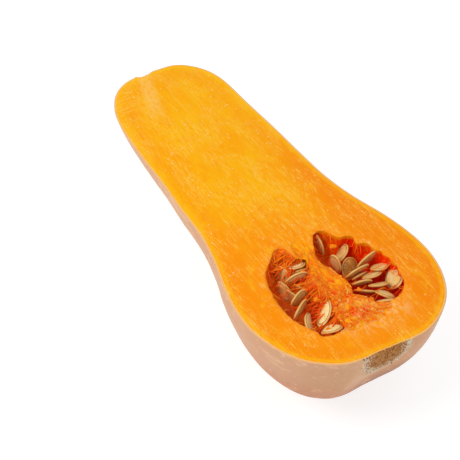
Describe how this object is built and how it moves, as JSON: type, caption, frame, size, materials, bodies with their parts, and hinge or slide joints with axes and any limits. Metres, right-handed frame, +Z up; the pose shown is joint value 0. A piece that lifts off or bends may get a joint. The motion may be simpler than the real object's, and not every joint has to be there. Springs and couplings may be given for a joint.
{
  "type": "butternut squash half",
  "caption": "Half of a butternut squash cut lengthwise, lying on its rounded back, with orange flesh, a thin pale rind and a seed cavity holding loose seeds.",
  "frame": {"origin": "centre of the bounding box, at the level of the surface it rests on", "axes": "+X along the squash from the bulb (blossom end) to the neck (stem end), +Z up, +Y to the left of someone looking along +X. The cut face looks up and dips toward the neck by 12.2 degrees."},
  "size_m": [0.2438, 0.1132, 0.0751],
  "materials": {
    "flesh": "moist cut squash flesh, bright orange with fine fibres, inside a thin smooth peach-tan rind",
    "seed": "moist cream to amber seed coat with a paler rim"
  },
  "bodies": {
    "root": {"squash_half": "flesh", "seed_right_01": "seed", "seed_right_02": "seed", "seed_right_03": "seed", "seed_right_04": "seed", "seed_right_05": "seed", "seed_right_06": "seed", "seed_right_07": "seed", "seed_right_08": "seed", "seed_right_09": "seed", "seed_right_10": "seed", "seed_right_11": "seed", "seed_right_12": "seed", "seed_right_13": "seed", "seed_right_14": "seed", "seed_right_15": "seed", "seed_left_01": "seed", "seed_left_02": "seed", "seed_left_03": "seed", "seed_left_04": "seed", "seed_left_05": "seed", "seed_left_06": "seed", "seed_left_07": "seed", "seed_left_08": "seed", "seed_left_09": "seed", "seed_left_10": "seed", "seed_left_11": "seed", "seed_left_12": "seed"}
  },
  "joints": []
}
